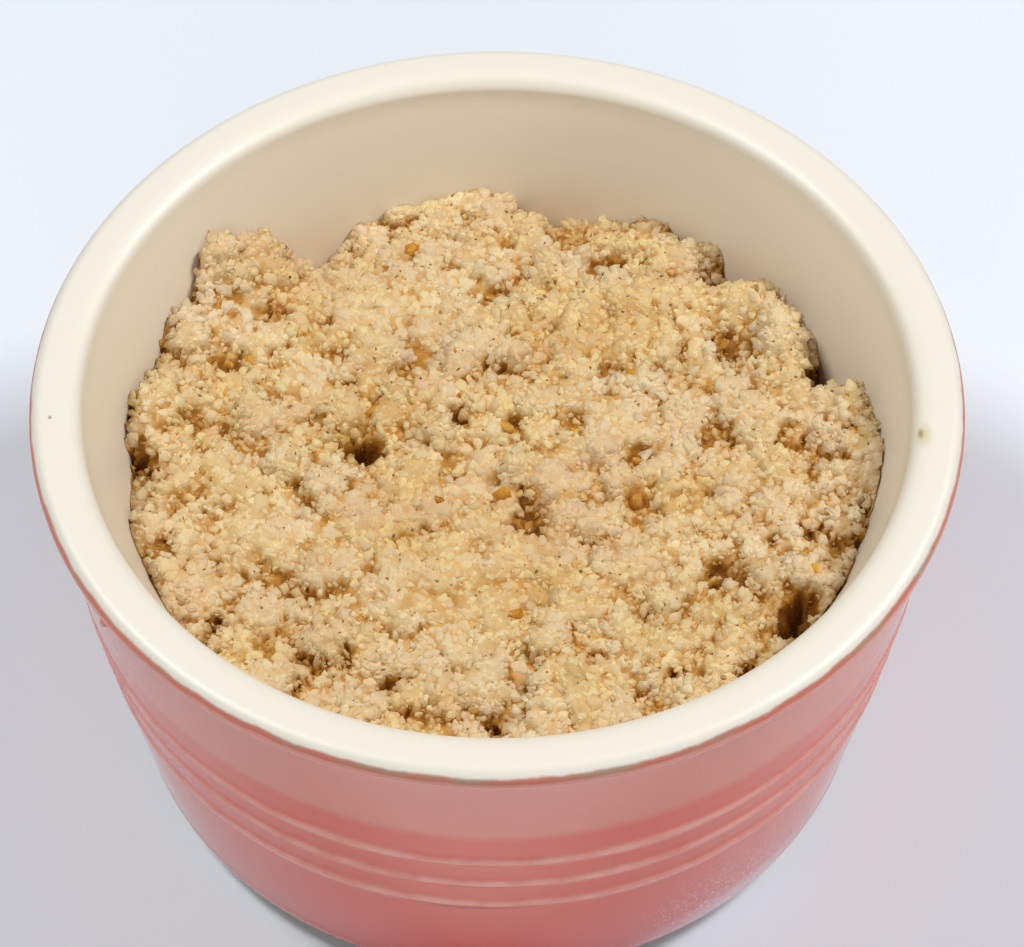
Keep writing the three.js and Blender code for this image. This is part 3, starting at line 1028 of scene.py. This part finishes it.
def random_turns(count):
    """Seeded turns in space, as matrices."""
    quaternions = draw.normal(size=(4, count))
    w, x, y, z = quaternions / np.linalg.norm(quaternions, axis=0)
    rows = [
        [1 - 2 * (y * y + z * z), 2 * (x * y - z * w), 2 * (x * z + y * w)],
        [2 * (x * y + z * w), 1 - 2 * (x * x + z * z), 2 * (y * z - x * w)],
        [2 * (x * z - y * w), 2 * (y * z + x * w), 1 - 2 * (x * x + y * y)],
    ]
    return np.moveaxis(np.array(rows), 2, 0)


def joined_mesh(name, points, faces):
    """A mesh from arrays of points and triangles."""
    mesh = bpy.data.meshes.new(name)
    mesh.vertices.add(len(points))
    mesh.vertices.foreach_set("co", (points * MM).astype(np.float32).ravel())
    mesh.loops.add(faces.size)
    mesh.loops.foreach_set("vertex_index", faces.astype(np.int32).ravel())
    mesh.polygons.add(len(faces))
    mesh.polygons.foreach_set("loop_start", np.arange(0, faces.size, 3, dtype=np.int32))
    mesh.update(calc_edges=True)
    mesh.shade_smooth()
    return mesh


def grain_mesh(name):
    """All grains of one kind, joined."""
    corners, calm = GRAIN_KINDS[name][4:]
    points, faces, tones, normals = [], [], [], []
    count = 0
    batches = zip(*(np.array_split(values, SHAPES_PER_KIND) for values in laid[name]))
    for middles, sizes in batches:
        shape, triangles, directions = broken_shape(corners)
        turns = random_turns(len(sizes))
        turned = np.einsum("gij,pj->gpi", turns, shape)
        points.append((turned * (sizes / 2)[:, None, None] + middles[:, None]).reshape(-1, 3))
        outward = np.einsum("gij,pj->gpi", turns, directions)
        ground = surface_normals(middles)[:, None]
        normals.append(((1 - calm) * outward + calm * ground).reshape(-1, 3))
        starts = count + np.arange(len(sizes)) * len(shape)
        faces.append((triangles + starts[:, None, None]).reshape(-1, 3))
        shades = sample(tone_map, *middles[:, :2].T)
        shades = shades + draw.uniform(-TONE_SPREAD, TONE_SPREAD, len(sizes))
        tones.append(np.repeat(np.clip(shades, 0, 1), len(shape)))
        count += len(sizes) * len(shape)
    points = np.concatenate(points)
    mesh = joined_mesh(name, points, np.concatenate(faces))
    mark_points(mesh, "tone", np.concatenate(tones))
    mark_shade_depth(mesh, points)
    normals = np.concatenate(normals)
    mesh.normals_split_custom_set_from_vertices(normals / np.linalg.norm(normals, axis=1, keepdims=True))
    return mesh


grain_meshes = {name: grain_mesh(name) for name in GRAIN_KINDS}
print({name: len(mesh.polygons) for name, mesh in grain_meshes.items()})

# %% [markdown]
# ## Ground brittle
#
# Ground brittle is nut meal stuck together with set sugar. A ramp on each grain's random tone mixes its
# pale shades, and wide patches are dusty and greyer. Shade is painted into the colour by depth: grains that
# lie high stay pale, and those deep in a crack, on a steep side or low between their neighbours are painted
# amber, and in the pits brown. This painted shade stands in for the light that reaches them only through
# the sugar. Real crumbs let light through, so the grains cast no shadows here, and that painted amber alone
# darkens the gaps between them.

# %% Brittle material
DUST_COLOUR = "d4ba9c"
# Colours of the painted shade, from pale amber in shallow cracks to brown in the pits
PAINTED_SHADE_STOPS = [(0, "cca970"), (1, "824e14"), (0.35, "bc8a42"), (0.7, "a06a20")]
# Painted shade: depths in mm between which it deepens from amber to brown, and how much patches add to the
# depth
PAINTED_SHADE_DEPTHS = (0.55, 3.6)
SHADE_PATCHES = 2.4
PAINTED_SHADE_GAIN = 1.8
# Sizes in mm of the patches of dust and of painted shade, and of the grit, with its depth
DUST_SIZE = 7.7
SHADE_PATCH_SIZE = 3.33
GRIT_SIZE = 0.455
GRIT_DEPTH = 0.18


def brittle_material(name, tones, roughness=0.55, dust=0.42):
    """Ground nut and set sugar, slightly glossy, with painted shade: pale on top, amber in the cracks,
    brown in the pits.
    """
    material, tree = start_material(name)
    place = add_node(tree, "TexCoord").outputs["Object"]
    tone = add_node(tree, "Attribute", attribute_name="tone").outputs["Fac"]
    depth = add_node(tree, "Attribute", attribute_name="shade_depth_mm").outputs["Fac"]
    own = add_node(tree, "ValToRGB", links={"Fac": tone}, ramp=tones)
    stretches = add_node(tree, "TexNoise", pattern(DUST_SIZE, 1), {"Vector": place})
    spread = {"From Min": 0.42, "From Max": 0.62, "To Max": dust}
    dusty = add_node(tree, "MapRange", spread, {"Value": stretches.outputs["Fac"]})
    links = {SHARE: dusty.outputs["Result"], FIRST: own.outputs["Color"]}
    own = add_node(tree, "Mix", {SECOND: linear(DUST_COLOUR)}, links, data_type="RGBA")
    # Painted shade: the depth, with patches added, picks amber or brown
    patchy = add_node(tree, "TexNoise", pattern(SHADE_PATCH_SIZE, 1), {"Vector": place})
    links = {0: patchy.outputs["Fac"], 2: depth}
    deep = add_node(tree, "Math", {1: SHADE_PATCHES}, links, operation="MULTIPLY_ADD")
    spread = {"From Min": PAINTED_SHADE_DEPTHS[0], "From Max": PAINTED_SHADE_DEPTHS[1]}
    sunk = add_node(tree, "MapRange", spread, {"Value": deep.outputs["Value"]}).outputs["Result"]
    amber = add_node(tree, "ValToRGB", links={"Fac": sunk}, ramp=PAINTED_SHADE_STOPS)
    share = add_node(tree, "Math", {1: PAINTED_SHADE_GAIN}, {0: sunk}, operation="MULTIPLY", use_clamp=True)
    links = {SHARE: share.outputs["Value"], FIRST: own.outputs[MIXED], SECOND: amber.outputs["Color"]}
    colour = add_node(tree, "Mix", links=links, data_type="RGBA")
    grit = add_node(tree, "TexNoise", pattern(GRIT_SIZE, 1), {"Vector": place})
    rough = {"Strength": 0.8, "Distance": GRIT_DEPTH * MM}
    bump = add_node(tree, "Bump", rough, {"Height": grit.outputs["Fac"]})
    values = {"Roughness": roughness, "IOR": 1.5, "Specular IOR Level": 0.2}
    links = {"Base Color": colour.outputs[MIXED], "Normal": bump.outputs["Normal"]}
    finish_material(tree, add_node(tree, "BsdfPrincipled", values, links))
    return material


print("amber from", PAINTED_SHADE_DEPTHS[0], "to", PAINTED_SHADE_DEPTHS[1], "mm of depth")

# %% Tones of nut, sugar, toffee and skin
# Ground nut is matt and beige, set sugar is paler and yellower, and the brittle under them is darker
NUT_TONES = [(0, "cfa874"), (1, "ddc59e"), (0.5, "d7b988")]
SUGAR_TONES = [(0, "d8b676"), (1, "e3cfa9"), (0.5, "ddc48e")]
BRITTLE_TONES = [(0, "c29a62"), (1, "d2b88c"), (0.5, "caaa74")]
# Toffee is amber with a gloss, and nut skin is dull and dark brown
TOFFEE_TONES = [(0, "b46e1c"), (1, "e0b254"), (0.5, "ca8e32")]
SKIN_TONES = [(0, "6e4e34"), (1, "987652")]
brittle = brittle_material("ground_brittle", BRITTLE_TONES)
sugar = brittle_material("set_sugar", SUGAR_TONES)
nut = brittle_material("ground_nut", NUT_TONES)
grain_materials = {
    "nut_crumbs": nut,
    "sugar_crumbs": sugar,
    "nut_meal": nut,
    "sugar_meal": sugar,
    "fine_sugar": sugar,
    "toffee_chips": brittle_material("toffee", TOFFEE_TONES, roughness=0.25, dust=0),
    "skin_flecks": brittle_material("nut_skin", SKIN_TONES, dust=0),
}
add_piece("crumb_core", core_mesh, brittle, "crumbs")
for name, mesh in grain_meshes.items():
    grains = add_piece(name, mesh, grain_materials[name], "crumbs")
    grains.visible_shadow = False
print("crumb pieces:", 1 + len(grain_meshes))

# %% [markdown]
# ## Table and light
#
# The dish stands on a pale table under broad, soft light. Two soft lights stand at its sides, slightly
# behind it, and the one on the right is the stronger. A wide weak light fills the front, and the pale
# room round it all lightens the shadows.

# %% Table and light
# In metres
TABLE_HALF = 2.0
LIGHT_DISTANCE = 1.0
# Each light: turn from the front in degrees, height in degrees, width in m, power in watts, colour
LIGHTS = {
    "right_softbox": (99, 52, 0.24, 6.2, "fcfeff"),
    "left_softbox": (-100, 60, 0.22, 5.3, "faffff"),
    "front_fill": (5, 20, 0.9, 3.2, "f3fcff"),
}
ROOM_STRENGTH = 0.13
ROOM_COLOUR = "f4f6fc"
TABLE_COLOUR = "e6ebf2"


def table_material():
    """Matt white table top."""
    material, tree = start_material("table_top")
    shader = add_node(tree, "BsdfPrincipled", {"Base Color": linear(TABLE_COLOUR), "Roughness": 0.5})
    finish_material(tree, shader)
    return material


def make_table():
    """A square table top under the dish."""
    flat = bmesh.new()
    bmesh.ops.create_grid(flat, x_segments=1, y_segments=1, size=TABLE_HALF)
    mesh = bpy.data.meshes.new("table")
    flat.to_mesh(mesh)
    flat.free()
    table = bpy.data.objects.new("table", mesh)
    table.data.materials.append(table_material())
    bpy.context.scene.collection.objects.link(table)


def add_light(name, turn, height, width, watts, colour):
    """A square light round the dish that looks at it."""
    light = bpy.data.lights.new(name, "AREA")
    light.size = width
    light.energy = watts
    light.color = linear(colour)[:3]
    turn, height = math.radians(turn), math.radians(height)
    away = Vector((math.sin(turn) * math.cos(height), -math.cos(turn) * math.cos(height), math.sin(height)))
    lamp = bpy.data.objects.new(name, light)
    lamp.location = away * LIGHT_DISTANCE
    lamp.rotation_euler = (-away).to_track_quat("-Z", "Y").to_euler()
    bpy.context.scene.collection.objects.link(lamp)


make_table()
for name, settings in LIGHTS.items():
    add_light(name, *settings)
world = bpy.data.worlds.new("room")
world.use_nodes = True
world.node_tree.nodes["Background"].inputs["Color"].default_value = linear(ROOM_COLOUR)
world.node_tree.nodes["Background"].inputs["Strength"].default_value = ROOM_STRENGTH
bpy.context.scene.world = world
bpy.context.scene.view_settings.view_transform = "Standard"
